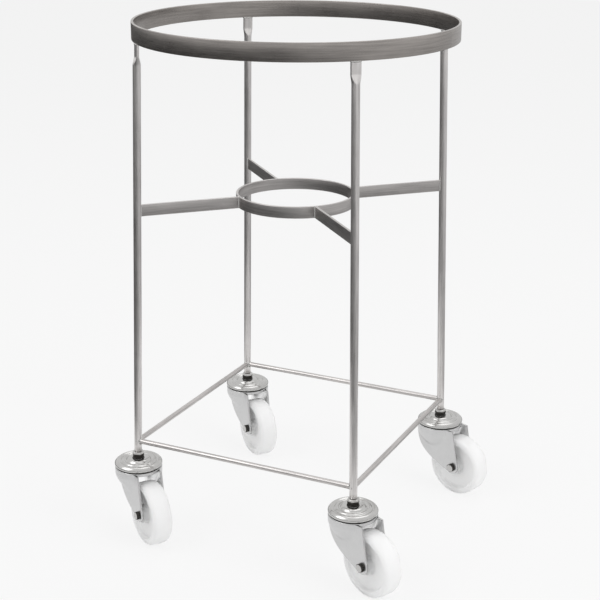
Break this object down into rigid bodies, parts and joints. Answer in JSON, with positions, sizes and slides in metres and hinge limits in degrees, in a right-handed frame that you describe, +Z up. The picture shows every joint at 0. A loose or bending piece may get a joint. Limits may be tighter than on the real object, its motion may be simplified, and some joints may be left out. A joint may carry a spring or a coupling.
{
  "type": "wheeled bowl stand",
  "caption": "Wheeled stainless ring stand for a hospital bowl or kick bucket: flat-bar ring on splayed rod legs, a lower cradle ring on spokes, base rails and swivel castors.",
  "frame": {"origin": "on the floor under the common axis of the two rings", "axes": "+Z up along the axis of the rings, -Y the front, legs at the four diagonals"},
  "size_m": [0.4164, 0.3932, 0.64],
  "materials": {
    "brushed_steel": "brushed stainless flat bar and rod",
    "polished_steel": "polished pressed steel",
    "satin_steel": "satin pressed steel",
    "dark_steel": "blackened spring washer",
    "white_nylon": "moulded white nylon"
  },
  "bodies": {
    "stand": {"top_ring": "brushed_steel", "lower_ring": "brushed_steel", "leg_front_left": "brushed_steel", "spoke_front_left": "brushed_steel", "lock_nut_front_left": "polished_steel", "washer_front_left": "dark_steel", "castor_head_front_left": "polished_steel", "king_rivet_front_left": "satin_steel", "ball_ring_front_left": "satin_steel", "base_nut_front_left": "satin_steel", "leg_front_right": "brushed_steel", "spoke_front_right": "brushed_steel", "lock_nut_front_right": "polished_steel", "washer_front_right": "dark_steel", "castor_head_front_right": "polished_steel", "king_rivet_front_right": "satin_steel", "ball_ring_front_right": "satin_steel", "base_nut_front_right": "satin_steel", "leg_rear_right": "brushed_steel", "spoke_rear_right": "brushed_steel", "lock_nut_rear_right": "polished_steel", "washer_rear_right": "dark_steel", "castor_head_rear_right": "polished_steel", "king_rivet_rear_right": "satin_steel", "ball_ring_rear_right": "satin_steel", "base_nut_rear_right": "satin_steel", "leg_rear_left": "brushed_steel", "spoke_rear_left": "brushed_steel", "lock_nut_rear_left": "polished_steel", "washer_rear_left": "dark_steel", "castor_head_rear_left": "polished_steel", "king_rivet_rear_left": "satin_steel", "ball_ring_rear_left": "satin_steel", "base_nut_rear_left": "satin_steel", "rail_front": "brushed_steel", "rail_right": "brushed_steel", "rail_rear": "brushed_steel", "rail_left": "brushed_steel"},
    "castor_front_left": {"fork_front_left": "satin_steel", "axle_bolt_front_left": "polished_steel", "axle_nut_front_left": "polished_steel", "axle_sleeve_front_left": "satin_steel"},
    "roller_front_left": {"wheel_front_left": "white_nylon"},
    "castor_front_right": {"fork_front_right": "satin_steel", "axle_bolt_front_right": "polished_steel", "axle_nut_front_right": "polished_steel", "axle_sleeve_front_right": "satin_steel"},
    "roller_front_right": {"wheel_front_right": "white_nylon"},
    "castor_rear_right": {"fork_rear_right": "satin_steel", "axle_bolt_rear_right": "polished_steel", "axle_nut_rear_right": "polished_steel", "axle_sleeve_rear_right": "satin_steel"},
    "roller_rear_right": {"wheel_rear_right": "white_nylon"},
    "castor_rear_left": {"fork_rear_left": "satin_steel", "axle_bolt_rear_left": "polished_steel", "axle_nut_rear_left": "polished_steel", "axle_sleeve_rear_left": "satin_steel"},
    "roller_rear_left": {"wheel_rear_left": "white_nylon"}
  },
  "joints": [
    {"name": "swivel_front_left", "type": "hinge", "parent": "stand", "child": "castor_front_left", "pos_m": [-0.14778, -0.14778, 0.09], "axis": [0, 0, 1], "continuous": true},
    {"name": "roll_front_left", "type": "hinge", "parent": "castor_front_left", "child": "roller_front_left", "pos_m": [-0.11904, -0.16776, 0.04], "axis": [0.5707, 0.8211, 0], "continuous": true},
    {"name": "swivel_front_right", "type": "hinge", "parent": "stand", "child": "castor_front_right", "pos_m": [0.14778, -0.14778, 0.09], "axis": [0, 0, 1], "continuous": true},
    {"name": "roll_front_right", "type": "hinge", "parent": "castor_front_right", "child": "roller_front_right", "pos_m": [0.17953, -0.16252, 0.04], "axis": [0.421, 0.907, 0], "continuous": true},
    {"name": "swivel_rear_right", "type": "hinge", "parent": "stand", "child": "castor_rear_right", "pos_m": [0.14778, 0.14778, 0.09], "axis": [0, 0, 1], "continuous": true},
    {"name": "roll_rear_right", "type": "hinge", "parent": "castor_rear_right", "child": "roller_rear_right", "pos_m": [0.18113, 0.13714, 0.04], "axis": [0.304, 0.9527, 0], "continuous": true},
    {"name": "swivel_rear_left", "type": "hinge", "parent": "stand", "child": "castor_rear_left", "pos_m": [-0.14778, 0.14778, 0.09], "axis": [0, 0, 1], "continuous": true},
    {"name": "roll_rear_left", "type": "hinge", "parent": "castor_rear_left", "child": "roller_rear_left", "pos_m": [-0.12002, 0.12648, 0.04], "axis": [0.6088, 0.7934, 0], "continuous": true}
  ]
}
